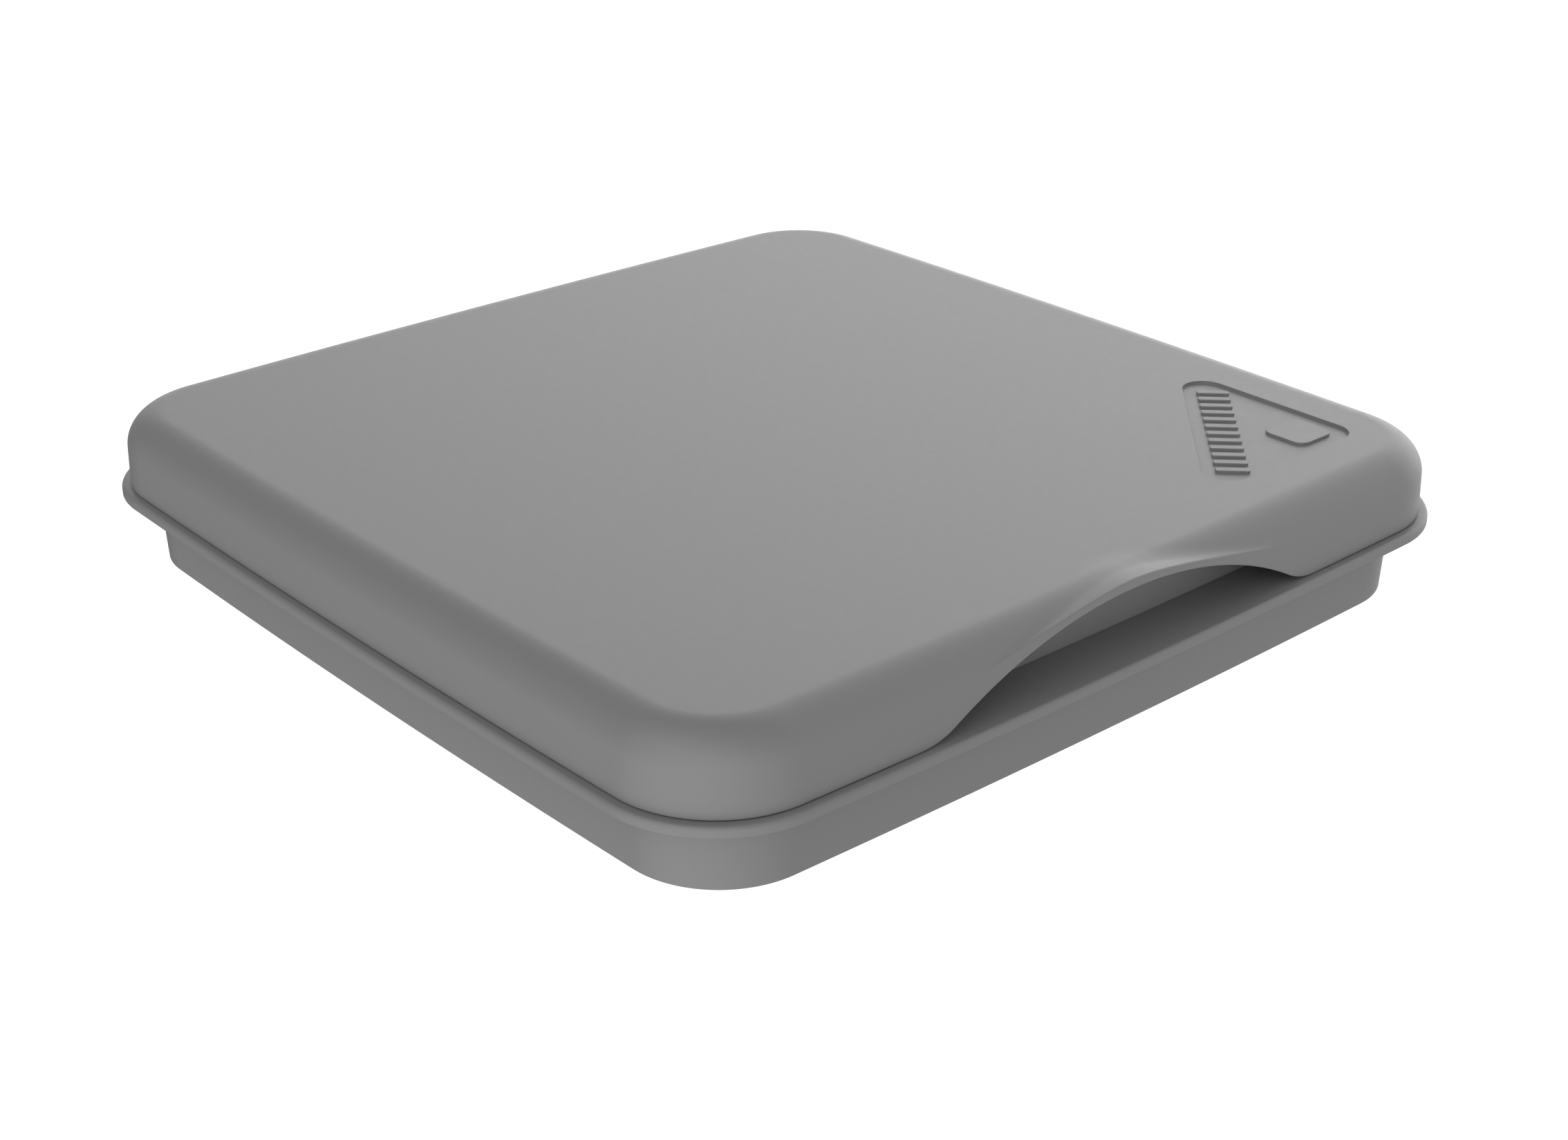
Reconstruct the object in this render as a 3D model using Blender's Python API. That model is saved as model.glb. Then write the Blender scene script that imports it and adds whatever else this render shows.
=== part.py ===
"""Lift-off lid for a square kitchen waste container. Metres, +Z up, front at -Y.

The rim frame plugs into the container's mouth and carries a ledge and a low inner wall.
The cover sits on the ledge over that wall, and a finger arch in its front wall lifts it off.
A slotted tray holds a filter pad inside a collar on the cover's underside.
The origin is at the middle of the foot of the plug wall, the lowest level of the lid.
"""
import math

import bmesh
import bpy
import numpy as np
from mathutils import Matrix, Vector

# Plan of the cover's bottom edge. Every inset below is measured inward from it.
WIDTH = 0.254             # across the middles of two opposite sides
CORNER = 0.0275           # corner radius
SIDE_BOW = 0.0021         # how far the middle of a side swells out beyond its ends
DRAFT = math.tan(math.radians(2.0))  # lean of the moulded walls

# Cover
COVER_HEIGHT = 0.0187     # bottom edge to flat top
COVER_WALL = 0.003
FILLET_RUN = 0.0095       # rounded top edge, measured in plan
FILLET_RISE = 0.0087      # rounded top edge, measured in height
TOP_BLENDS = (0.0025, 0.0055, 0.0095)  # steps from the rounded edge to where the top is flat

# Finger arch in the cover's front wall, and the lip above it
ARCH_CENTRE = -0.0014     # x of the crown
ARCH_RISE = 0.0171        # crown above the cover's bottom edge
ARCH_HALF_SPAN = 0.0652   # crown to where the opening runs out into the bottom edge
ARCH_FOOT = 0.020         # radius where the opening runs out
LIP_THICKNESS = 0.00225   # lip at the crown
LIP_FALL = 0.19           # slope of the lip's upper edge away from the crown
LIP_ROUND = 0.012         # size of the round stretch at the crown
LIP_CURVE = 0.050         # radius of the lip's upper face, from front to back
LIP_BLEND = 0.0016        # height over which the lip melts into the rounded edge

# Badge in the front right corner of the top: a sunk triangular pad with a row of ribs and a square boss
BADGE_INSET = 0.0211      # pad's short sides, inward of the lid's front and right sides
BADGE_REACH = 0.0419      # from the pad's right-angled corner to its long side
BADGE_CORNER = 0.0060
BADGE_DEPTH = 0.0008
BADGE_TURN = math.radians(45)  # direction of the long side
RIBS = 12
RIB_OFFSET = 0.0078       # row's middle line from the long side
RIB_LENGTH = 0.0084
RIB_WIDTH = 0.0022
RIB_PITCH = 0.0047
BOSS_OFFSET = 0.0152      # boss from the right-angled corner
BOSS_SIZE = 0.0130
BOSS_CORNER = 0.0030
RELIEF = 0.0007           # height of ribs and boss over the pad's floor
RELIEF_ROOT = 0.0007      # ribs and boss reach this far into the floor

# Rim frame
PLUG_DEPTH = 0.0184       # foot to the flange's underside
PLUG_INSET = 0.0066       # outer face of the plug wall at its foot
PLUG_CORNER = 0.0241      # corner radius of the plug wall at its foot
PLUG_WALL = 0.0026
FLANGE = 0.0026           # thickness of the flange and ledge
FLANGE_REACH = 0.0023     # flange beyond the cover's bottom edge
FLANGE_ROUND = 0.0011     # radius of its upper edge
FLANGE_CHAMFER = 0.0003   # bevel of its lower edge
UPSTAND_INSET = 0.0140    # outer face of the inner wall at the ledge
UPSTAND_WALL = 0.0024

# Collar under the cover, tray and filter pad
AIR_GAP = 0.0042          # over the frame's inner wall
COLLAR_GAP = 0.0008       # between the frame's inner wall and the collar
COLLAR_WALL = 0.0022
NOTCH_WIDTH = 0.008       # air notches through the collar
NOTCH_TOP = 0.0020        # notches below the ceiling
NOTCH_PITCH = 0.058
NOTCHES = 3               # on each side
TRAY_GAP = 0.0004
TRAY_WALL = 0.0016
TRAY_FLOOR = 0.0020
TRAY_DEPTH = 0.0060
SLOT_LENGTH = 0.030
SLOT_WIDTH = 0.0032
SLOT_ROUND = 0.0014       # corners of a slot
SLOT_PITCH_X = 0.0375
SLOT_PITCH_Y = 0.0130
SLOT_MARGIN = 0.0080      # slots stay this far from the tray's wall
PULL_LENGTH = 0.030       # rib on the tray's underside to pull it out by
PULL_DEPTH = 0.0050
PULL_WIDTH = 0.0024
PAD_THICKNESS = 0.0080
PAD_GAP = 0.0006          # round the pad
PAD_AIR = 0.0012          # over the pad

SEAT_GAP = 0.0003         # between pieces that rest on each other
LEAST_CORNER = 0.0010

# Facets
FRONT_STEPS = 48
SIDE_STEPS = 6
CORNER_STEPS = 8
FILLET_STEPS = 8
INNER_STEPS = 7
FLANGE_STEPS = 3
BADGE_CORNER_STEPS = 5
SMALL_STEPS = 2
SHARP = math.radians(32)  # edges sharper than this are shaded as edges

# Levels that follow from the sizes above
LEDGE = PLUG_DEPTH + FLANGE
SEAT = LEDGE + SEAT_GAP
TOP = SEAT + COVER_HEIGHT
CEILING = TOP - COVER_WALL
UPSTAND_TOP = CEILING - AIR_GAP
COLLAR_FOOT = CEILING - PAD_AIR - PAD_THICKNESS - SEAT_GAP - TRAY_FLOOR
SHOULDER = COVER_HEIGHT - FILLET_RISE  # where the cover's wall starts to round over, above its bottom edge

# Insets that follow
UPSTAND_INNER = UPSTAND_INSET + DRAFT * (UPSTAND_TOP - LEDGE) + UPSTAND_WALL
COLLAR_OUTER = UPSTAND_INNER + COLLAR_GAP
COLLAR_INNER = COLLAR_OUTER + COLLAR_WALL
TRAY_OUTER = COLLAR_INNER + TRAY_GAP
PAD_OUTER = TRAY_OUTER + TRAY_WALL + PAD_GAP


def collection(name):
    """A new collection in the scene."""
    group = bpy.data.collections.new(name)
    bpy.context.scene.collection.children.link(group)
    return group


def plastic(name, grey, roughness):
    """A plain grey Principled material."""
    material = bpy.data.materials.new(name)
    material.use_nodes = True
    shader = material.node_tree.nodes["Principled BSDF"]
    shader.inputs["Base Color"].default_value = (grey, grey, grey, 1.0)
    shader.inputs["Roughness"].default_value = roughness
    shader.inputs["Metallic"].default_value = 0.0
    return material


def plan(inset=0.0, corner=None, front_steps=SIDE_STEPS):
    """Points and outward normals of the bowed square, anticlockwise from the front side's left end."""
    if corner is None:
        corner = max(CORNER - inset, LEAST_CORNER)
    outer_radius = ((WIDTH / 2) ** 2 + SIDE_BOW ** 2) / (2 * SIDE_BOW)
    side_centre = WIDTH / 2 - outer_radius
    side_radius = outer_radius - inset
    span = 2 * (side_radius - corner) ** 2 - side_centre ** 2
    corner_centre = (side_centre + math.sqrt(span)) / 2
    side_end = math.atan2(corner_centre, corner_centre - side_centre)
    points, normals = [], []
    for quarter in range(4):
        turn = math.pi / 2 * (quarter - 1)
        steps = front_steps if quarter == 0 else SIDE_STEPS
        rows = []
        for angle in np.linspace(-side_end, side_end, steps, endpoint=False):
            rows.append((side_centre, 0.0, side_radius, angle))
        for angle in np.linspace(side_end, math.pi / 2 - side_end, CORNER_STEPS, endpoint=False):
            rows.append((corner_centre, corner_centre, corner, angle))
        for centre_x, centre_y, radius, angle in rows:
            x = centre_x + radius * math.cos(angle)
            y = centre_y + radius * math.sin(angle)
            points.append((x * math.cos(turn) - y * math.sin(turn), x * math.sin(turn) + y * math.cos(turn)))
            normals.append((math.cos(angle + turn), math.sin(angle + turn)))
    return np.array(points), np.array(normals)


def ring(inset, height, corner=None):
    """One level ring of a frame, tray or pad."""
    points, _ = plan(inset, corner)
    return np.column_stack([points, np.full(len(points), height)])


def loft(name, rings, closed, material, group):
    """A solid through a row of rings, capped at both ends or closed on itself."""
    mesh = bmesh.new()
    rows = [[mesh.verts.new(point) for point in points] for points in rings]
    pairs = list(zip(rows, rows[1:]))
    if closed:
        pairs.append((rows[-1], rows[0]))
    for lower, upper in pairs:
        for index in range(len(lower)):
            after = (index + 1) % len(lower)
            mesh.faces.new((lower[index], lower[after], upper[after], upper[index]))
    if not closed:
        mesh.faces.new(rows[0])
        mesh.faces.new(rows[-1])
    bmesh.ops.recalc_face_normals(mesh, faces=mesh.faces)
    return to_object(name, mesh, material, group)


def to_object(name, mesh, material, group):
    """An object from a bmesh, shaded smooth apart from its sharp edges."""
    data = bpy.data.meshes.new(name)
    mesh.to_mesh(data)
    mesh.free()
    data.shade_smooth()
    data.set_sharp_from_angle(angle=SHARP)
    if material:
        data.materials.append(material)
    item = bpy.data.objects.new(name, data)
    group.objects.link(item)
    return item


def block(name, size, centre, turn, group):
    """A box used as a cutter or as an added rib."""
    mesh = bmesh.new()
    bmesh.ops.create_cube(mesh, size=1.0)
    bmesh.ops.scale(mesh, vec=size, verts=mesh.verts)
    return guide(name, mesh, centre, turn, group)


def rounded_block(name, size, corner, steps, centre, group):
    """A box with round upright edges, used as a cutter or as an added boss."""
    mesh = bmesh.new()
    bmesh.ops.create_cube(mesh, size=1.0)
    bmesh.ops.scale(mesh, vec=size, verts=mesh.verts)
    upright = [edge for edge in mesh.edges if edge.verts[0].co.xy == edge.verts[1].co.xy]
    bmesh.ops.bevel(mesh, geom=upright, offset=corner, segments=steps, profile=0.5, affect="EDGES")
    return guide(name, mesh, centre, 0.0, group)


def rounded_outline(corners, radius, steps):
    """Points of a polygon with round corners, from its sharp corners taken anticlockwise."""
    points = []
    for index, corner in enumerate(corners):
        before = (corners[index - 1] - corner).normalized()
        after = (corners[(index + 1) % len(corners)] - corner).normalized()
        half = before.angle(after) / 2
        centre = corner + (before + after).normalized() * radius / math.sin(half)
        start = corner + before * radius / math.tan(half) - centre
        for step in range(steps + 1):
            points.append(centre + Matrix.Rotation((math.pi - 2 * half) * step / steps, 2) @ start)
    return points


def prism(name, outline, low, high, group):
    """An upright prism on a flat outline, used as a cutter."""
    mesh = bmesh.new()
    floor = mesh.faces.new([mesh.verts.new((x, y, low)) for x, y in outline])
    raised = bmesh.ops.extrude_face_region(mesh, geom=[floor])["geom"]
    lifted = [item for item in raised if isinstance(item, bmesh.types.BMVert)]
    bmesh.ops.translate(mesh, vec=(0.0, 0.0, high - low), verts=lifted)
    bmesh.ops.recalc_face_normals(mesh, faces=mesh.faces)
    return guide(name, mesh, (0.0, 0.0, 0.0), 0.0, group)


def guide(name, mesh, centre, turn, group):
    """An object that only cuts or adds to another."""
    item = to_object(name, mesh, None, group)
    item.location = centre
    item.rotation_euler[2] = turn
    item.hide_render = True
    item.display_type = "WIRE"
    return item


def combine(target, tool, operation):
    """Adds an exact Boolean modifier."""
    modifier = target.modifiers.new(tool.name, "BOOLEAN")
    modifier.operation = operation
    modifier.solver = "EXACT"
    modifier.object = tool


def arch_radius():
    """Radius of the arch between its two run-outs."""
    return (ARCH_HALF_SPAN ** 2 / ARCH_RISE + ARCH_RISE) / 2 - ARCH_FOOT


def arch_height(x):
    """Height of the opening's upper edge above the cover's bottom edge."""
    across = np.abs(x - ARCH_CENTRE)
    radius = arch_radius()
    meeting = ARCH_HALF_SPAN * radius / (radius + ARCH_FOOT)
    crown = ARCH_RISE - radius + np.sqrt(np.maximum(radius ** 2 - across ** 2, 0.0))
    beyond = np.clip(ARCH_HALF_SPAN - across, 0.0, ARCH_FOOT)
    foot = ARCH_FOOT - np.sqrt(ARCH_FOOT ** 2 - beyond ** 2)
    return np.where(across < meeting, crown, foot)


def lip_height(x, run):
    """Height of the lip's upper face above the cover's bottom edge, a run inward of the front wall."""
    across = np.hypot(x - ARCH_CENTRE, LIP_ROUND) - LIP_ROUND
    return ARCH_RISE + LIP_THICKNESS - LIP_FALL * across - run ** 2 / (2 * LIP_CURVE)


def blend_max(first, second):
    """The larger of two heights, eased where they are nearly equal."""
    close = np.maximum(LIP_BLEND - np.abs(first - second), 0.0)
    return np.maximum(first, second) + close ** 2 / (4 * LIP_BLEND)


def cover_rings():
    """The cover's rings: top to bottom edge outside, then back up and round the collar inside."""
    points, normals = plan(front_steps=FRONT_STEPS)
    x = points[:, 0]
    front = points[:, 1] < 0
    opening = np.where(front, arch_height(x), 0.0)

    def place(run, height):
        inset = run + DRAFT * height
        flat = points - normals * np.reshape(inset, (-1, 1))
        return np.column_stack([flat, SEAT + height])

    def level(inset, height):
        flat = points - normals * inset
        return np.column_stack([flat, np.full(len(points), height)])

    def outside(run, height):
        lifted = blend_max(height, lip_height(x, run))
        return place(np.full(len(x), run), np.where(front, lifted, height))

    rings = [place(np.full(len(x), FILLET_RUN + TOP_BLENDS[-1]), np.full(len(x), COVER_HEIGHT))]
    for step in reversed(TOP_BLENDS[:-1]):
        rings.append(outside(FILLET_RUN + step, COVER_HEIGHT))
    for step in range(FILLET_STEPS, -1, -1):
        angle = math.pi / 2 * step / FILLET_STEPS
        height = COVER_HEIGHT - FILLET_RISE * (1 - math.sin(angle))
        rings.append(outside(FILLET_RUN * (1 - math.cos(angle)), height))
    rings.append(place(np.zeros(len(x)), opening))
    rings.append(place(np.full(len(x), COVER_WALL), opening))

    inner_run = FILLET_RUN - COVER_WALL
    inner_rise = FILLET_RISE - COVER_WALL
    lifted = np.clip((opening - SHOULDER) / COVER_WALL + 1, 0.0, 1.0)
    for step in range(1, INNER_STEPS + 1):
        share = step / INNER_STEPS
        rounded = inner_run * (1 - math.cos(math.pi / 2 * share))
        run = rounded + (inner_run * share - rounded) * lifted
        height = SHOULDER + inner_rise * np.sqrt(1 - (1 - run / inner_run) ** 2)
        rings.append(place(COVER_WALL + run, np.maximum(height, opening)))
    rings.append(level(FILLET_RUN + COVER_WALL, CEILING))
    rings.append(level(COLLAR_OUTER, CEILING))
    rings.append(level(COLLAR_OUTER, COLLAR_FOOT))
    rings.append(level(COLLAR_INNER, COLLAR_FOOT))
    rings.append(level(COLLAR_INNER, CEILING))
    return rings


def badge(cover, cutters):
    """The sunk triangular pad, its long side across the lid's corner, with ribs and a boss on its floor."""
    side = WIDTH / 2 - BADGE_INSET
    leg = BADGE_REACH / math.sin(BADGE_TURN)
    corner = Vector((side, -side))
    corners = [corner - Vector((leg, 0.0)), corner, corner + Vector((0.0, leg))]
    outline = rounded_outline(corners, BADGE_CORNER, BADGE_CORNER_STEPS)
    floor = TOP - BADGE_DEPTH
    combine(cover, prism("badge_cutter", outline, floor, TOP + COVER_WALL, cutters), "DIFFERENCE")

    along = Vector((math.cos(BADGE_TURN), math.sin(BADGE_TURN)))
    outward = Vector((along.y, -along.x))
    height = RELIEF_ROOT + RELIEF
    middle = floor - RELIEF_ROOT + height / 2
    row = corner - outward * (BADGE_REACH - RIB_OFFSET)
    for index in range(RIBS):
        spot = row + along * RIB_PITCH * (index - (RIBS - 1) / 2)
        size = (RIB_WIDTH, RIB_LENGTH, height)
        rib = block(f"badge_rib_{index + 1}", size, (spot.x, spot.y, middle), BADGE_TURN, cutters)
        combine(cover, rib, "UNION")
    spot = corner - outward * BOSS_OFFSET
    size = (BOSS_SIZE, BOSS_SIZE, height)
    boss = rounded_block("badge_boss", size, BOSS_CORNER, SMALL_STEPS, (spot.x, spot.y, middle), cutters)
    combine(cover, boss, "UNION")


def notches(cover, cutters):
    """Air notches through the collar, cut by boxes that reach across from side to side."""
    length = WIDTH - 2 * COLLAR_OUTER + COLLAR_WALL
    high = CEILING - NOTCH_TOP
    low = COLLAR_FOOT + TRAY_DEPTH
    for turn in (0.0, math.pi / 2):
        for index in range(NOTCHES):
            shift = NOTCH_PITCH * (index - (NOTCHES - 1) / 2)
            centre = (-shift * math.sin(turn), shift * math.cos(turn), (low + high) / 2)
            cutter = block(f"notch_cutter_{index + 1}_{round(math.degrees(turn))}",
                           (length, NOTCH_WIDTH, high - low), centre, turn, cutters)
            combine(cover, cutter, "DIFFERENCE")


def make_cover(parts, cutters):
    """The moulded cover with its arch, lip, badge and collar."""
    cover = loft("cover", cover_rings(), False, plastic("cover_plastic", 0.20, 0.45), parts)
    badge(cover, cutters)
    notches(cover, cutters)
    return cover


def make_frame(parts):
    """The rim frame: flange, ledge, inner wall and plug wall, as one closed band."""
    rise = UPSTAND_TOP - LEDGE
    plug_lean = DRAFT * PLUG_DEPTH
    rings = [
        ring(FLANGE_CHAMFER - FLANGE_REACH, PLUG_DEPTH),
        ring(-FLANGE_REACH, PLUG_DEPTH + FLANGE_CHAMFER),
    ]
    for step in range(FLANGE_STEPS + 1):
        angle = math.pi / 2 * step / FLANGE_STEPS
        rings.append(ring(FLANGE_ROUND * (1 - math.cos(angle)) - FLANGE_REACH,
                          LEDGE - FLANGE_ROUND * (1 - math.sin(angle))))
    rings += [
        ring(UPSTAND_INSET, LEDGE),
        ring(UPSTAND_INSET + DRAFT * rise, UPSTAND_TOP),
        ring(UPSTAND_INNER, UPSTAND_TOP),
        ring(UPSTAND_INNER, PLUG_DEPTH),
        ring(PLUG_INSET - plug_lean + PLUG_WALL, PLUG_DEPTH, PLUG_CORNER - PLUG_WALL),
        ring(PLUG_INSET + PLUG_WALL, 0.0, PLUG_CORNER - PLUG_WALL),
        ring(PLUG_INSET, 0.0, PLUG_CORNER),
        ring(PLUG_INSET - plug_lean, PLUG_DEPTH, PLUG_CORNER),
    ]
    return loft("rim_frame", rings, True, plastic("frame_plastic", 0.20, 0.45), parts)


def slots(tray, cutters):
    """Slots through the tray's floor, as many as fit, in even rows that leave the rib its place."""
    room = WIDTH - 2 * (TRAY_OUTER + TRAY_WALL + SLOT_MARGIN)
    columns = 1 + int((room - SLOT_LENGTH) / SLOT_PITCH_X)
    rows = 2 * int((room - SLOT_WIDTH) / (2 * SLOT_PITCH_Y) + 0.5)
    size = (SLOT_LENGTH, SLOT_WIDTH, 2 * TRAY_FLOOR)
    for index in range(rows * columns):
        row, column = divmod(index, columns)
        centre = (SLOT_PITCH_X * (column - (columns - 1) / 2), SLOT_PITCH_Y * (row - (rows - 1) / 2),
                  COLLAR_FOOT + TRAY_FLOOR / 2)
        cutter = rounded_block(f"slot_cutter_{index + 1}", size, SLOT_ROUND, SMALL_STEPS, centre, cutters)
        combine(tray, cutter, "DIFFERENCE")


def make_tray(parts, cutters):
    """The slotted tray that holds the pad in the collar, with a rib to pull it out by."""
    floor = COLLAR_FOOT + TRAY_FLOOR
    brim = COLLAR_FOOT + TRAY_DEPTH
    rings = [
        ring(TRAY_OUTER + TRAY_WALL, floor),
        ring(TRAY_OUTER + TRAY_WALL, brim),
        ring(TRAY_OUTER, brim),
        ring(TRAY_OUTER, COLLAR_FOOT),
    ]
    tray = loft("filter_tray", rings, False, plastic("tray_plastic", 0.07, 0.5), parts)
    slots(tray, cutters)
    root = TRAY_FLOOR / 2
    height = root + PULL_DEPTH
    centre = (0.0, 0.0, COLLAR_FOOT + root - height / 2)
    pull = block("pull_rib", (PULL_LENGTH, PULL_WIDTH, height), centre, 0.0, cutters)
    combine(tray, pull, "UNION")
    return tray


def make_pad(parts):
    """The filter pad, lying in the tray."""
    low = COLLAR_FOOT + TRAY_FLOOR + SEAT_GAP
    rings = [ring(PAD_OUTER, low), ring(PAD_OUTER, low + PAD_THICKNESS)]
    return loft("filter_pad", rings, False, plastic("pad_foam", 0.02, 0.95), parts)


def main():
    for item in list(bpy.data.objects):
        bpy.data.objects.remove(item)
    parts = collection("waste_container_lid")
    cutters = collection("cutters")
    make_frame(parts)
    make_cover(parts, cutters)
    make_tray(parts, cutters)
    make_pad(parts)


main()
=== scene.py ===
"""Looks of the waste container lid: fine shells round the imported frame, moulded plastic, studio."""

import math

import bmesh
import bpy
import numpy as np
from mathutils import Matrix, Vector


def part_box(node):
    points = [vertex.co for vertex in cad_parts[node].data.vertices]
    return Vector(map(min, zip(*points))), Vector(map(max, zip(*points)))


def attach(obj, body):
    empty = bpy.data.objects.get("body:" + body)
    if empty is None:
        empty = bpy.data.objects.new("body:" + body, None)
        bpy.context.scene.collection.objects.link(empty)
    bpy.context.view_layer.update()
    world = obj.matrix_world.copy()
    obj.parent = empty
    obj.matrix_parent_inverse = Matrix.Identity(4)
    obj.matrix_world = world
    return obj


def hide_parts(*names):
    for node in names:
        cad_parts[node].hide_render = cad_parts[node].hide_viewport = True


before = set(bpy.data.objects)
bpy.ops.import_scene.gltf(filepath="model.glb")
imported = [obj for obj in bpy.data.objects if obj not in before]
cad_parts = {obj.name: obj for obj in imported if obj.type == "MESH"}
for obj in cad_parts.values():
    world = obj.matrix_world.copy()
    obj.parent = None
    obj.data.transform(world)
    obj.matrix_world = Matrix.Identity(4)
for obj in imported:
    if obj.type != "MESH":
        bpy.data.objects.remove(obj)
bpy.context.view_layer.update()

# Levels and widths read from the frame, in metres. +Z is up, and the finger arch is at -Y.
COVER_LOW, COVER_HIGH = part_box("cover")
TRAY_LOW, TRAY_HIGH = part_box("filter_tray")
PAD_LOW, PAD_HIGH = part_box("filter_pad")
UPSTAND_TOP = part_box("rim_frame")[1].z
WIDTH = COVER_HIGH.x - COVER_LOW.x      # cover across its bottom edge
SEAT = COVER_LOW.z                      # cover's bottom edge

# The design's own sizes, as in the CAD. Insets are measured inward from the cover's bottom edge.
CORNER = 0.0275
SIDE_BOW = 0.0021
DRAFT = math.tan(math.radians(2.0))
COVER_HEIGHT = 0.0187
COVER_WALL = 0.003
FILLET_RUN = 0.0095
FILLET_RISE = 0.0087
ARCH_CENTRE = -0.0014
ARCH_RISE = 0.0171
ARCH_HALF_SPAN = 0.0652
ARCH_FOOT = 0.020
LIP_THICKNESS = COVER_HIGH.z - SEAT - ARCH_RISE
LIP_FALL = 0.19
LIP_ROUND = 0.012
LIP_CURVE = 0.050
LIP_BLEND = 0.0016
BADGE_INSET = 0.0211
BADGE_REACH = 0.0419
BADGE_CORNER = 0.0060
BADGE_DEPTH = 0.0008
BADGE_TURN = math.radians(45)
RIBS = 12
RIB_OFFSET = 0.0078
RIB_LENGTH = 0.0084
RIB_WIDTH = 0.0022
RIB_PITCH = 0.0047
BOSS_OFFSET = 0.0152
BOSS_SIZE = 0.0130
BOSS_CORNER = 0.0030
RELIEF = 0.0007
RELIEF_ROOT = 0.0007
PLUG_DEPTH = 0.0184
PLUG_INSET = 0.0066
PLUG_CORNER = 0.0241
PLUG_WALL = 0.0026
FLANGE = 0.0026
FLANGE_REACH = 0.0023
UPSTAND_INSET = 0.0140
UPSTAND_WALL = 0.0024
COLLAR_GAP = 0.0008
COLLAR_WALL = 0.0022
NOTCH_WIDTH = 0.008
NOTCH_TOP = 0.0020
NOTCH_PITCH = 0.058
NOTCHES = 3
TRAY_GAP = 0.0004
TRAY_WALL = 0.0016
TRAY_FLOOR = 0.0020
SLOT_LENGTH = 0.030
SLOT_WIDTH = 0.0032
SLOT_PITCH_X = 0.0375
SLOT_PITCH_Y = 0.0130
SLOT_COLUMNS = 5
SLOT_ROWS = 14
PULL_LENGTH = 0.030
PULL_WIDTH = 0.0024
PULL_DEPTH = 0.0050

# Levels and insets that follow
TOP = SEAT + COVER_HEIGHT
CEILING = TOP - COVER_WALL
SHOULDER = COVER_HEIGHT - FILLET_RISE
LEDGE = PLUG_DEPTH + FLANGE
TRAY_FOOT = TRAY_LOW.z + PULL_DEPTH
UPSTAND_INNER = UPSTAND_INSET + DRAFT * (UPSTAND_TOP - LEDGE) + UPSTAND_WALL
COLLAR_OUTER = UPSTAND_INNER + COLLAR_GAP
COLLAR_INNER = COLLAR_OUTER + COLLAR_WALL
TRAY_OUTER = COLLAR_INNER + TRAY_GAP
PAD_OUTER = (WIDTH - (PAD_HIGH.x - PAD_LOW.x)) / 2

# Fine shapes, left out of the CAD except where a comment says so
EDGE = 0.0002            # cover's bottom edge, the arch, the foot of the plug wall
LIP_EDGE = 0.0004        # front edge of the lip over the arch
FLANGE_ROUND = 0.0011    # upper edge of the flange, as in the CAD
FLANGE_EDGE = 0.0003     # lower edge of the flange
SEAM = 0.0002            # groove at the foot of the frame's inner wall
WALL_ROUND = 0.0008      # top of the frame's inner wall
INNER_EDGE = 0.0004      # corners inside the lid and under the flange
TRAY_EDGE = 0.0005       # edges of the tray, its slots and its pull rib
RELIEF_EDGE = 0.0001     # edges of the badge
RIB_ROUND = 0.00055      # upright corners of the badge's ribs
NOTCH_ROUND = 0.0010     # corners of the air notches
PULL_ROUND = 0.0008      # upright corners of the tray's pull rib
TOP_BLEND = 0.0095       # from the cover's rounded edge to where the top is quite flat

# Filter pad
PAD_EDGE = 0.0010
PAD_WAIST = 0.0005       # how far the pad's sides pull in
PAD_CROWN = 0.0012       # how far its top falls towards the sides

# Plastics and foam. Scales are features per metre.
BODY_GREY = 0.20
BODY_ROUGHNESS = 0.45
TRAY_GREY = 0.07
TRAY_ROUGHNESS = 0.5
MOTTLE = 0.004           # share by which the grey varies
MOTTLE_SCALE = 22.0
GLOSS_SPREAD = 0.02      # by which the roughness varies
GLOSS_SCALE = 400.0
GRAIN_SCALE = 2600.0
GRAIN_DEPTH = 0.0001
NOISE_LOW, NOISE_HIGH = 0.3, 0.7  # most of a noise's values lie between these
CELL_SCALE = 900.0
CELL_DEPTH = 0.0006
# painted shade at the foam's cell centres, and the dull grey of the cell rims
CELL_PAINTED_SHADE, CELL_RIM = 0.006, 0.045

# Camera, fitted to the lid's outlines in the photograph. Its angles are in degrees, and its target is
# given as x, y and height from the cover's bottom edge.
CAMERA_AZIMUTH = -41.252
CAMERA_ELEVATION = 25.543
CAMERA_DISTANCE = 0.62559
CAMERA_TARGET = (-0.0034, -0.0108, -0.0196)
SENSOR_WIDTH = 36.0      # millimetres, as is the focal length
FOCAL_LENGTH = 55.52

# Studio: each soft light's azimuth and elevation in degrees, sharpness and brightness. The
# brightnesses are a least-squares fit to the photograph, rounded.
SOFT_LIGHTS = {
    "near": (-45, 12, 5, 1.15),
    "near_high": (-45, 32, 20, 0.15),
    "left_low": (-90, -35, 3, 1.27),
    "left_high": (-90, 50, 5, 1.38),
    "front_low": (0, -35, 3, 0.75),
    "front": (0, 12, 5, 0.35),
    "right": (90, 12, 5, 2.05),
    "behind": (135, 12, 5, 2.05),
}
STAGE_WIDTH = 12.0       # of the floor and of the dome over it

# Mesh density
FRONT_STEPS = 260
SIDE_STEPS = 40
CORNER_STEPS = 40
ARC_STEPS = 5            # along each small rounded edge
FILLET_ROWS = 30
WALL_ROWS = 4
INNER_ROWS = 14
BLEND_ROWS = 11
PAD_ROWS = 12
OUTLINE_STEPS = 10       # round each corner of a badge, slot, notch or rib
SHARP = math.radians(32)  # edges sharper than this are shaded as edges


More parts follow.
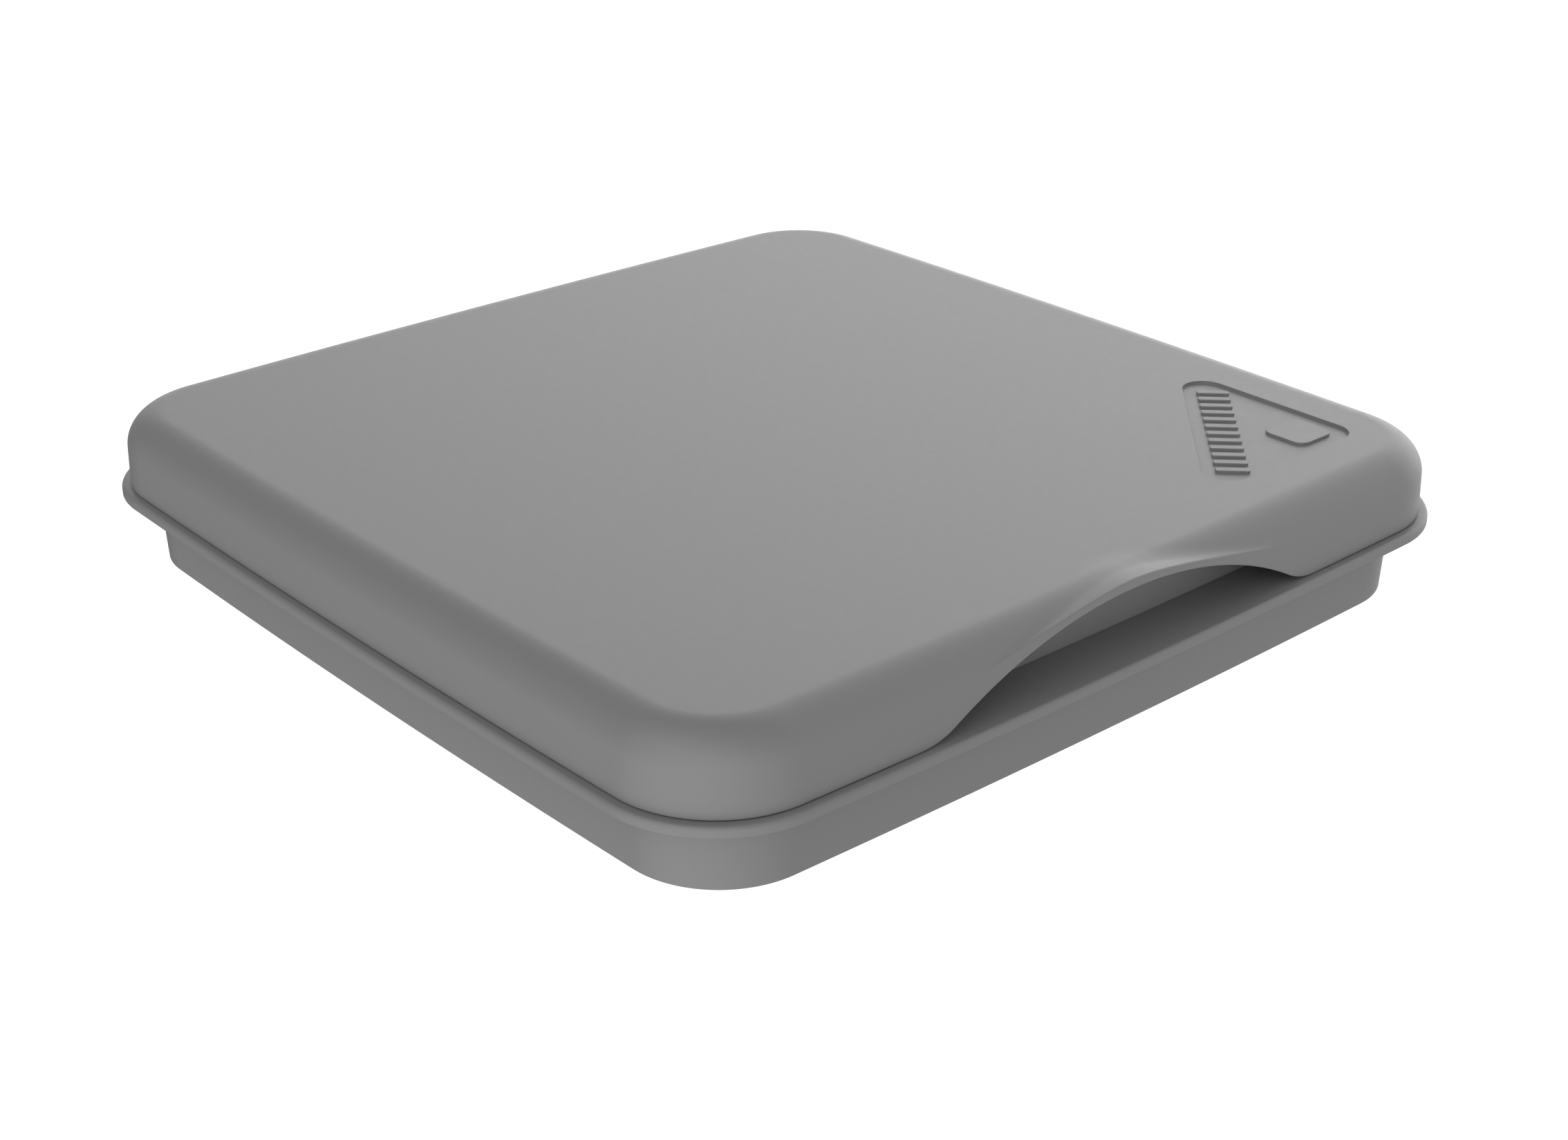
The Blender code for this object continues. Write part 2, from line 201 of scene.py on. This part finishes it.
def plan(inset=0.0, corner=None, front_steps=SIDE_STEPS):
    """Points and outward normals of the bowed square, anticlockwise from the front side's left end."""
    if corner is None:
        corner = CORNER - inset
    outer_radius = ((WIDTH / 2) ** 2 + SIDE_BOW ** 2) / (2 * SIDE_BOW)
    side_centre = WIDTH / 2 - outer_radius
    side_radius = outer_radius - inset
    span = 2 * (side_radius - corner) ** 2 - side_centre ** 2
    corner_centre = (side_centre + math.sqrt(span)) / 2
    side_end = math.atan2(corner_centre, corner_centre - side_centre)
    points, normals = [], []
    for quarter in range(4):
        turn = math.pi / 2 * (quarter - 1)
        steps = front_steps if quarter == 0 else SIDE_STEPS
        side = np.linspace(-side_end, side_end, steps, endpoint=False)
        bend = np.linspace(side_end, math.pi / 2 - side_end, CORNER_STEPS, endpoint=False)
        x = np.concatenate([side_centre + side_radius * np.cos(side), corner_centre + corner * np.cos(bend)])
        y = np.concatenate([side_radius * np.sin(side), corner_centre + corner * np.sin(bend)])
        angle = np.concatenate([side, bend]) + turn
        points.append(np.column_stack([x * math.cos(turn) - y * math.sin(turn),
                                       x * math.sin(turn) + y * math.cos(turn)]))
        normals.append(np.column_stack([np.cos(angle), np.sin(angle)]))
    return np.concatenate(points), np.concatenate(normals)


def arch_radius():
    """Radius of the arch between its two run-outs."""
    return (ARCH_HALF_SPAN ** 2 / ARCH_RISE + ARCH_RISE) / 2 - ARCH_FOOT


def arch_height(x):
    """Height of the opening's upper edge above the cover's bottom edge."""
    across = np.abs(x - ARCH_CENTRE)
    radius = arch_radius()
    meeting = ARCH_HALF_SPAN * radius / (radius + ARCH_FOOT)
    crown = ARCH_RISE - radius + np.sqrt(np.maximum(radius ** 2 - across ** 2, 0.0))
    beyond = np.clip(ARCH_HALF_SPAN - across, 0.0, ARCH_FOOT)
    foot = ARCH_FOOT - np.sqrt(ARCH_FOOT ** 2 - beyond ** 2)
    return np.where(across < meeting, crown, foot)


def lip_height(x, run):
    """Height of the lip's upper face above the cover's bottom edge, with its rounded front edge."""
    across = np.hypot(x - ARCH_CENTRE, LIP_ROUND) - LIP_ROUND
    near = np.clip(1 - run / LIP_EDGE, 0.0, 1.0)
    edge = LIP_EDGE * (1 - np.sqrt(1 - near ** 2))
    return ARCH_RISE + LIP_THICKNESS - LIP_FALL * across - run ** 2 / (2 * LIP_CURVE) - edge


def blend_max(first, second):
    """The larger of two heights, eased where they are nearly equal."""
    close = np.maximum(LIP_BLEND - np.abs(first - second), 0.0)
    return np.maximum(first, second) + close ** 2 / (4 * LIP_BLEND)


def loft(name, stacks, closed=False):
    """An object of one solid for each stack of rings, capped at both ends or closed on itself."""
    verts, faces = [], []
    for rings in stacks:
        first = len(verts)
        count = len(rings[0])
        last = first + (len(rings) - 1) * count
        verts.extend(tuple(point) for ring in rings for point in ring)
        pairs = [(first + row * count, first + (row + 1) * count) for row in range(len(rings) - 1)]
        if closed:
            pairs.append((last, first))
        for lower, upper in pairs:
            for index in range(count):
                after = (index + 1) % count
                faces.append((lower + index, lower + after, upper + after, upper + index))
        if not closed:
            faces.append(tuple(range(first, first + count)))
            faces.append(tuple(range(last, last + count)))
    data = bpy.data.meshes.new(name)
    data.from_pydata(verts, [], faces)
    mesh = bmesh.new()
    mesh.from_mesh(data)
    bmesh.ops.recalc_face_normals(mesh, faces=mesh.faces)
    mesh.to_mesh(data)
    mesh.free()
    item = bpy.data.objects.new(name, data)
    bpy.context.scene.collection.objects.link(item)
    shade(item)
    return item


def shade(item):
    """Smooth shading that breaks at sharp edges."""
    item.data.shade_smooth()
    item.data.set_sharp_from_angle(angle=SHARP)


def round_corners(corners, closed):
    """Replaces each corner (inset, height, plan corner, radius) of a section by an arc."""
    rows = []
    count = len(corners)
    for index, (inset, height, plan_corner, radius) in enumerate(corners):
        here = np.array([inset, height])
        if radius == 0 or (not closed and index in (0, count - 1)):
            rows.append((inset, height, plan_corner))
            continue
        before = np.array(corners[index - 1][:2]) - here
        after = np.array(corners[(index + 1) % count][:2]) - here
        before /= np.linalg.norm(before)
        after /= np.linalg.norm(after)
        half_angle = math.acos(np.clip(before @ after, -1, 1)) / 2
        reach = radius / math.tan(half_angle)
        middle = (before + after) / np.linalg.norm(before + after)
        centre = here + middle * radius / math.sin(half_angle)
        start = here + before * reach - centre
        end = here + after * reach - centre
        first = math.atan2(start[1], start[0])
        sweep = (math.atan2(end[1], end[0]) - first + math.pi) % (2 * math.pi) - math.pi
        for step in range(ARC_STEPS + 1):
            angle = first + sweep * step / ARC_STEPS
            point = centre + radius * np.array([math.cos(angle), math.sin(angle)])
            rows.append((point[0], point[1], plan_corner))
    return rows


def section_rings(corners, closed=False):
    """Rings of a section swept round the plan."""
    rings = []
    for inset, height, plan_corner in round_corners(corners, closed):
        points, _ = plan(inset, plan_corner)
        rings.append(np.column_stack([points, np.full(len(points), height)]))
    return rings


def cover_rings():
    """The cover's rings: top to bottom edge outside, then back up and round the collar inside."""
    points, normals = plan(front_steps=FRONT_STEPS)
    x = points[:, 0]
    count = len(x)
    front = points[:, 1] < 0
    opening = np.where(front, arch_height(x), 0.0)

    def place(run, height):
        """A ring at a run inward of the leaning wall and a height above the bottom edge."""
        run = np.broadcast_to(run, count)
        height = np.broadcast_to(height, count)
        flat = points - normals * (run + DRAFT * height)[:, None]
        return np.column_stack([flat, SEAT + height])

    def level(inset, height):
        """A level ring at an inset and a height above the origin."""
        return np.column_stack([points - normals * inset, np.full(count, height)])

    def outside(run, height):
        """A ring of the outer face, raised to the lip at the front."""
        lifted = blend_max(height, lip_height(x, run))
        return place(run, np.where(front, lifted, height))

    rings = [place(FILLET_RUN + TOP_BLEND, COVER_HEIGHT)]
    for row in range(BLEND_ROWS - 1, 0, -1):
        rings.append(outside(FILLET_RUN + TOP_BLEND * row / BLEND_ROWS, COVER_HEIGHT))
    for row in range(FILLET_ROWS, -1, -1):
        angle = math.pi / 2 * row / FILLET_ROWS
        height = COVER_HEIGHT - FILLET_RISE * (1 - math.sin(angle))
        rings.append(outside(FILLET_RUN * (1 - math.cos(angle)), height))
    wall_top = rings[-1][:, 2] - SEAT
    for row in range(WALL_ROWS - 1, 0, -1):
        rings.append(place(0.0, opening + EDGE + (wall_top - opening - EDGE) * row / WALL_ROWS))
    for row in range(ARC_STEPS + 1):
        angle = math.pi / 2 * row / ARC_STEPS
        rings.append(place(EDGE * (1 - math.cos(angle)), opening + EDGE * (1 - math.sin(angle))))
    for row in range(ARC_STEPS + 1):
        angle = math.pi / 2 * row / ARC_STEPS
        rings.append(place(COVER_WALL - EDGE * (1 - math.sin(angle)), opening + EDGE * (1 - math.cos(angle))))

    inner_run = FILLET_RUN - COVER_WALL
    inner_rise = FILLET_RISE - COVER_WALL
    lifted = np.clip((opening - SHOULDER) / COVER_WALL + 1, 0.0, 1.0)
    for row in range(1, INNER_ROWS + 1):
        share = row / INNER_ROWS
        rounded = inner_run * (1 - math.cos(math.pi / 2 * share))
        run = rounded + (inner_run * share - rounded) * lifted
        height = SHOULDER + inner_rise * np.sqrt(1 - (1 - run / inner_run) ** 2)
        rings.append(place(COVER_WALL + run, np.maximum(height, opening + EDGE * (1 + share))))

    foot = TRAY_FOOT
    collar = [(FILLET_RUN + COVER_WALL, CEILING, None, 0.0), (COLLAR_OUTER, CEILING, None, INNER_EDGE),
              (COLLAR_OUTER, foot, None, INNER_EDGE), (COLLAR_INNER, foot, None, INNER_EDGE),
              (COLLAR_INNER, CEILING, None, INNER_EDGE), (COLLAR_INNER + COLLAR_WALL, CEILING, None, 0.0)]
    for inset, height, _ in round_corners(collar, closed=False):
        rings.append(level(inset, height))
    return rings


def frame_section():
    """The rim frame's section as corners: inset, height, plan corner and rounding."""
    lean = DRAFT * PLUG_DEPTH
    upstand_outer = UPSTAND_INNER - UPSTAND_WALL
    inner_corner = PLUG_CORNER - PLUG_WALL
    return [
        (-FLANGE_REACH, PLUG_DEPTH, None, FLANGE_EDGE),
        (-FLANGE_REACH, LEDGE, None, FLANGE_ROUND),
        (UPSTAND_INSET - SEAM, LEDGE, None, 0.0),
        (UPSTAND_INSET - SEAM / 2, LEDGE - SEAM, None, 0.0),
        (UPSTAND_INSET, LEDGE, None, 0.0),
        (upstand_outer, UPSTAND_TOP, None, WALL_ROUND),
        (UPSTAND_INNER, UPSTAND_TOP, None, WALL_ROUND),
        (UPSTAND_INNER, PLUG_DEPTH, None, INNER_EDGE),
        (PLUG_INSET - lean + PLUG_WALL, PLUG_DEPTH, inner_corner, INNER_EDGE),
        (PLUG_INSET + PLUG_WALL, 0.0, inner_corner, EDGE),
        (PLUG_INSET, 0.0, PLUG_CORNER, EDGE),
        (PLUG_INSET - lean, PLUG_DEPTH, PLUG_CORNER, INNER_EDGE),
    ]


def rectangle(centre, length, width, turn=0.0):
    """Corners of a rectangle, anticlockwise."""
    along = Vector((math.cos(turn), math.sin(turn))) * length / 2
    across = Vector((-math.sin(turn), math.cos(turn))) * width / 2
    return [
        centre - along - across,
        centre + along - across,
        centre + along + across,
        centre - along + across,
    ]


def prism_rings(corners, radius, levels):
    """Rings of an upright prism on a polygon with round corners, one for each (margin, height)."""
    arcs = []
    for index, corner in enumerate(corners):
        before = (corners[index - 1] - corner).normalized()
        after = (corners[(index + 1) % len(corners)] - corner).normalized()
        half = before.angle(after) / 2
        centre = corner + (before + after).normalized() * radius / math.sin(half)
        outward = (corner + before * radius / math.tan(half) - centre).normalized()
        for step in range(OUTLINE_STEPS + 1):
            arcs.append((centre, Matrix.Rotation((math.pi - 2 * half) * step / OUTLINE_STEPS, 2) @ outward))
    rings = []
    for margin, height in levels:
        rings.append([(*(centre + outward * (radius + margin)), height) for centre, outward in arcs])
    return rings


def apply_boolean(target, tool, operation):
    """Applies an exact Boolean with a tool object, and removes the tool."""
    modifier = target.modifiers.new("shape", "BOOLEAN")
    modifier.operation = operation
    modifier.solver = "EXACT"
    modifier.object = tool
    with bpy.context.temp_override(object=target, active_object=target, selected_objects=[target]):
        bpy.ops.object.modifier_apply(modifier="shape")
    bpy.data.objects.remove(tool)
    shade(target)


def badge(cover):
    """The sunk triangular pad, its long side across the lid's corner, with ribs and a boss on its floor."""
    side = WIDTH / 2 - BADGE_INSET
    leg = BADGE_REACH / math.sin(BADGE_TURN)
    corner = Vector((side, -side))
    corners = [corner - Vector((leg, 0.0)), corner, corner + Vector((0.0, leg))]
    floor = TOP - BADGE_DEPTH
    levels = [(-RELIEF_EDGE, floor), (0.0, floor + RELIEF_EDGE), (0.0, TOP - RELIEF_EDGE), (RELIEF_EDGE, TOP),
              (RELIEF_EDGE, TOP + COVER_WALL)]
    apply_boolean(cover, loft("badge_cutter", [prism_rings(corners, BADGE_CORNER, levels)]), "DIFFERENCE")

    along = Vector((math.cos(BADGE_TURN), math.sin(BADGE_TURN)))
    outward = Vector((along.y, -along.x))
    high = floor + RELIEF
    levels = [(0.0, floor - RELIEF_ROOT), (0.0, high - RELIEF_EDGE), (-RELIEF_EDGE, high)]
    row = corner - outward * (BADGE_REACH - RIB_OFFSET)
    stacks = []
    for index in range(RIBS):
        spot = row + along * RIB_PITCH * (index - (RIBS - 1) / 2)
        stacks.append(prism_rings(rectangle(spot, RIB_WIDTH, RIB_LENGTH, BADGE_TURN), RIB_ROUND, levels))
    spot = corner - outward * BOSS_OFFSET
    stacks.append(prism_rings(rectangle(spot, BOSS_SIZE, BOSS_SIZE), BOSS_CORNER, levels))
    apply_boolean(cover, loft("badge_relief", stacks), "UNION")


def notches(cover):
    """Air notches through the collar under the cover."""
    levels = [(0.0, TRAY_HIGH.z), (0.0, CEILING - NOTCH_TOP)]
    reach = WIDTH / 2 - (COLLAR_OUTER + COLLAR_INNER) / 2
    length = 4 * COLLAR_WALL
    stacks = []
    for turn in range(4):
        outward = Matrix.Rotation(math.pi / 2 * turn, 2)
        for index in range(NOTCHES):
            spot = outward @ Vector((reach, NOTCH_PITCH * (index - (NOTCHES - 1) / 2)))
            corners = rectangle(spot, length, NOTCH_WIDTH, math.pi / 2 * turn)
            stacks.append(prism_rings(corners, NOTCH_ROUND, levels))
    apply_boolean(cover, loft("notch_cutter", stacks), "DIFFERENCE")


def node(tree, kind, **values):
    """A shader node with its inputs set by name."""
    made = tree.nodes.new(kind)
    for name, value in values.items():
        made.inputs[name.replace("_", " ")].default_value = value
    return made


def plastic(name, grey, roughness):
    """Satin moulded plastic: faint mottling, uneven gloss and the fine grain of a spark-eroded mould."""
    material = bpy.data.materials.new(name)
    material.use_nodes = True
    tree = material.node_tree
    shader = tree.nodes["Principled BSDF"]
    shader.inputs["IOR"].default_value = 1.49
    place = tree.nodes.new("ShaderNodeTexCoord")
    mottle = node(tree, "ShaderNodeTexNoise", Scale=MOTTLE_SCALE, Detail=4.0)
    tone = node(tree, "ShaderNodeMapRange", From_Min=NOISE_LOW, From_Max=NOISE_HIGH,
                To_Min=grey * (1 - MOTTLE), To_Max=grey * (1 + MOTTLE))
    smear = node(tree, "ShaderNodeTexNoise", Scale=GLOSS_SCALE, Detail=4.0)
    gloss = node(tree, "ShaderNodeMapRange", From_Min=NOISE_LOW, From_Max=NOISE_HIGH,
                 To_Min=roughness - GLOSS_SPREAD, To_Max=roughness + GLOSS_SPREAD)
    grain = node(tree, "ShaderNodeTexNoise", Scale=GRAIN_SCALE, Detail=2.0)
    bump = node(tree, "ShaderNodeBump", Strength=0.10, Distance=GRAIN_DEPTH)
    for noise in (mottle, smear, grain):
        tree.links.new(place.outputs["Object"], noise.inputs["Vector"])
    tree.links.new(mottle.outputs["Fac"], tone.inputs["Value"])
    tree.links.new(tone.outputs["Result"], shader.inputs["Base Color"])
    tree.links.new(smear.outputs["Fac"], gloss.inputs["Value"])
    tree.links.new(gloss.outputs["Result"], shader.inputs["Roughness"])
    tree.links.new(grain.outputs["Fac"], bump.inputs["Height"])
    tree.links.new(bump.outputs["Normal"], shader.inputs["Normal"])
    return material


def foam(name):
    """Open-cell carbon foam: small round cells with a dull rim, their colour darkened towards each cell's
    centre as painted shade in the cell depths.
    """
    material = bpy.data.materials.new(name)
    material.use_nodes = True
    tree = material.node_tree
    shader = tree.nodes["Principled BSDF"]
    shader.inputs["Roughness"].default_value = 0.95
    shader.inputs["Specular IOR Level"].default_value = 0.2
    place = tree.nodes.new("ShaderNodeTexCoord")
    cells = node(tree, "ShaderNodeTexVoronoi", Scale=CELL_SCALE)
    # colour runs from painted shade at each cell's centre to the dull rim grey at its edge
    tone = node(tree, "ShaderNodeMapRange", From_Min=0.0, From_Max=0.8, To_Min=CELL_PAINTED_SHADE, To_Max=CELL_RIM)
    bump = node(tree, "ShaderNodeBump", Strength=0.9, Distance=CELL_DEPTH)
    tree.links.new(place.outputs["Object"], cells.inputs["Vector"])
    tree.links.new(cells.outputs["Distance"], tone.inputs["Value"])
    tree.links.new(tone.outputs["Result"], shader.inputs["Base Color"])
    tree.links.new(cells.outputs["Distance"], bump.inputs["Height"])
    tree.links.new(bump.outputs["Normal"], shader.inputs["Normal"])
    return material


def fit_out(item, material, body, replaced):
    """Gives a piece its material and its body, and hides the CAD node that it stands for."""
    item.data.materials.clear()
    item.data.materials.append(material)
    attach(item, body)
    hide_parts(replaced)


def make_cover():
    """The moulded cover with its arch, lip, badge and notched collar."""
    cover = loft("cover_shell", [cover_rings()])
    badge(cover)
    notches(cover)
    fit_out(cover, plastic("cover_satin", BODY_GREY, BODY_ROUGHNESS), "cover", "cover")


def make_frame():
    """The rim frame: flange, ledge, inner wall and plug wall."""
    rim = loft("frame_shell", [section_rings(frame_section(), closed=True)], closed=True)
    fit_out(rim, plastic("frame_satin", BODY_GREY, BODY_ROUGHNESS), "frame", "rim_frame")


def slots(tray, floor):
    """Slots through the tray's floor, whose edges flare towards both faces."""
    levels = [
        (TRAY_EDGE, TRAY_FOOT - TRAY_FLOOR),
        (TRAY_EDGE, TRAY_FOOT),
        (0.0, TRAY_FOOT + TRAY_EDGE),
        (0.0, floor - TRAY_EDGE),
        (TRAY_EDGE, floor),
        (TRAY_EDGE, floor + TRAY_FLOOR),
    ]
    length = SLOT_LENGTH - 2 * TRAY_EDGE
    width = SLOT_WIDTH - 2 * TRAY_EDGE
    stacks = []
    for row in range(SLOT_ROWS):
        for column in range(SLOT_COLUMNS):
            spot = Vector((SLOT_PITCH_X * (column - (SLOT_COLUMNS - 1) / 2),
                           SLOT_PITCH_Y * (row - (SLOT_ROWS - 1) / 2)))
            stacks.append(prism_rings(rectangle(spot, length, width), width / 2 - TRAY_EDGE, levels))
    apply_boolean(tray, loft("slot_cutter", stacks), "DIFFERENCE")


def make_tray():
    """The slotted tray with its pull rib."""
    floor = TRAY_FOOT + TRAY_FLOOR
    inner = TRAY_OUTER + TRAY_WALL
    section = [(inner + TRAY_WALL, floor, None, 0.0), (inner, floor, None, TRAY_EDGE),
               (inner, TRAY_HIGH.z, None, TRAY_EDGE), (TRAY_OUTER, TRAY_HIGH.z, None, TRAY_EDGE),
               (TRAY_OUTER, TRAY_FOOT, None, TRAY_EDGE), (inner + TRAY_WALL, TRAY_FOOT, None, 0.0)]
    tray = loft("tray_shell", [section_rings(section)])
    slots(tray, floor)
    levels = [(-TRAY_EDGE, TRAY_LOW.z), (0.0, TRAY_LOW.z + TRAY_EDGE), (0.0, TRAY_FOOT + TRAY_FLOOR / 2)]
    corners = rectangle(Vector((0.0, 0.0)), PULL_LENGTH, PULL_WIDTH)
    apply_boolean(tray, loft("pull_rib", [prism_rings(corners, PULL_ROUND, levels)]), "UNION")
    fit_out(tray, plastic("tray_satin", TRAY_GREY, TRAY_ROUGHNESS), "filter", "filter_tray")


def make_pad():
    """The foam pad: flat below, crowned above, its sides pulled in between its edges."""
    low, high = PAD_LOW.z, PAD_HIGH.z
    waist = (low + high - PAD_CROWN) / 2
    section = [(PAD_OUTER + 2 * PAD_EDGE, low, None, 0.0), (PAD_OUTER, low, None, PAD_EDGE),
               (PAD_OUTER + PAD_WAIST, waist, None, PAD_EDGE), (PAD_OUTER, high - PAD_CROWN, None, PAD_EDGE),
               (PAD_OUTER + 2 * PAD_EDGE, high - PAD_CROWN, None, 0.0)]
    rings = section_rings(section)
    edge = rings[-1]
    for row in range(1, PAD_ROWS):
        share = row / PAD_ROWS
        ring = edge * np.array([1 - share, 1 - share, 1.0])
        ring[:, 2] += PAD_CROWN * math.sin(math.pi / 2 * share)
        rings.append(ring)
    pad = loft("filter_foam", [rings])
    fit_out(pad, foam("carbon_foam"), "filter", "filter_pad")


def towards(azimuth, elevation):
    """The unit vector towards an azimuth and an elevation in degrees; azimuth 0 is the lid's front."""
    across = math.cos(math.radians(elevation))
    return Vector((math.sin(math.radians(azimuth)) * across, -math.cos(math.radians(azimuth)) * across,
                   math.sin(math.radians(elevation))))


def make_camera():
    """The camera at the photograph's viewing angle."""
    target = Vector(CAMERA_TARGET) + Vector((0.0, 0.0, SEAT))
    back = towards(CAMERA_AZIMUTH, CAMERA_ELEVATION)
    data = bpy.data.cameras.new("camera")
    data.sensor_width = SENSOR_WIDTH
    data.sensor_fit = "HORIZONTAL"
    data.lens = FOCAL_LENGTH
    camera = bpy.data.objects.new("camera", data)
    bpy.context.scene.collection.objects.link(camera)
    camera.location = target + back * CAMERA_DISTANCE
    camera.rotation_euler = back.to_track_quat("Z", "Y").to_euler()
    bpy.context.scene.camera = camera


def glow(tree, direction, lobe):
    """The brightness of one soft light of the surround, a lobe round its azimuth and elevation."""
    azimuth, elevation, sharpness, strength = lobe
    facing = node(tree, "ShaderNodeVectorMath")
    facing.operation = "DOT_PRODUCT"
    facing.inputs[1].default_value = towards(azimuth, elevation)
    tree.links.new(direction, facing.inputs[0])
    value = facing.outputs["Value"]
    for operation, number in (("MAXIMUM", 0.0), ("POWER", sharpness), ("MULTIPLY", strength)):
        step = node(tree, "ShaderNodeMath")
        step.operation = operation
        step.inputs[1].default_value = number
        tree.links.new(value, step.inputs[0])
        value = step.outputs["Value"]
    return value


def make_surround():
    """A studio without lamps: broad soft lights at the left, in front, at the right and behind."""
    world = bpy.data.worlds.new("studio")
    bpy.context.scene.world = world
    world.use_nodes = True
    tree = world.node_tree
    direction = tree.nodes.new("ShaderNodeTexCoord").outputs["Generated"]
    total, *others = [glow(tree, direction, lobe) for lobe in SOFT_LIGHTS.values()]
    for value in others:
        both = node(tree, "ShaderNodeMath")
        tree.links.new(total, both.inputs[0])
        tree.links.new(value, both.inputs[1])
        total = both.outputs["Value"]
    background = tree.nodes["Background"]
    background.inputs["Color"].default_value = (1.0, 1.0, 1.0, 1.0)
    tree.links.new(total, background.inputs["Strength"])


def make_stage(name, mesh, material):
    """A floor or backdrop that the camera sees, but that throws no light and no shadow on the lid."""
    data = bpy.data.meshes.new(name)
    mesh.to_mesh(data)
    mesh.free()
    data.materials.append(material)
    item = bpy.data.objects.new(name, data)
    bpy.context.scene.collection.objects.link(item)
    item.visible_diffuse = False
    item.visible_glossy = False
    item.visible_shadow = False


def paper(name, reflectance, emission):
    """White paper, lit from behind."""
    material = bpy.data.materials.new(name)
    material.use_nodes = True
    shader = material.node_tree.nodes["Principled BSDF"]
    shader.inputs["Base Color"].default_value = (reflectance, reflectance, reflectance, 1.0)
    shader.inputs["Roughness"].default_value = 0.9
    shader.inputs["Specular IOR Level"].default_value = 0.1
    shader.inputs["Emission Color"].default_value = (1.0, 1.0, 1.0, 1.0)
    shader.inputs["Emission Strength"].default_value = emission
    return material


def make_floor():
    """A plain white floor, clear when it is seen from below."""
    material = paper("floor_paper", reflectance=0.3, emission=0.95)
    tree = material.node_tree
    side = tree.nodes.new("ShaderNodeNewGeometry")
    clear = tree.nodes.new("ShaderNodeBsdfTransparent")
    either = tree.nodes.new("ShaderNodeMixShader")
    tree.links.new(side.outputs["Backfacing"], either.inputs["Fac"])
    tree.links.new(tree.nodes["Principled BSDF"].outputs["BSDF"], either.inputs[1])
    tree.links.new(clear.outputs["BSDF"], either.inputs[2])
    tree.links.new(either.outputs["Shader"], tree.nodes["Material Output"].inputs["Surface"])
    mesh = bmesh.new()
    bmesh.ops.create_grid(mesh, x_segments=1, y_segments=1, size=STAGE_WIDTH / 2)
    make_stage("floor", mesh, material)


def make_backdrop():
    """A plain white dome all round, so that every view has the same background."""
    mesh = bmesh.new()
    bmesh.ops.create_icosphere(mesh, subdivisions=4, radius=STAGE_WIDTH / 2)
    make_stage("backdrop", mesh, paper("backdrop_paper", reflectance=0.0, emission=1.0))


make_camera()
make_surround()
make_floor()
make_backdrop()
bpy.context.scene.view_settings.view_transform = "Standard"
make_cover()
make_frame()
make_tray()
make_pad()
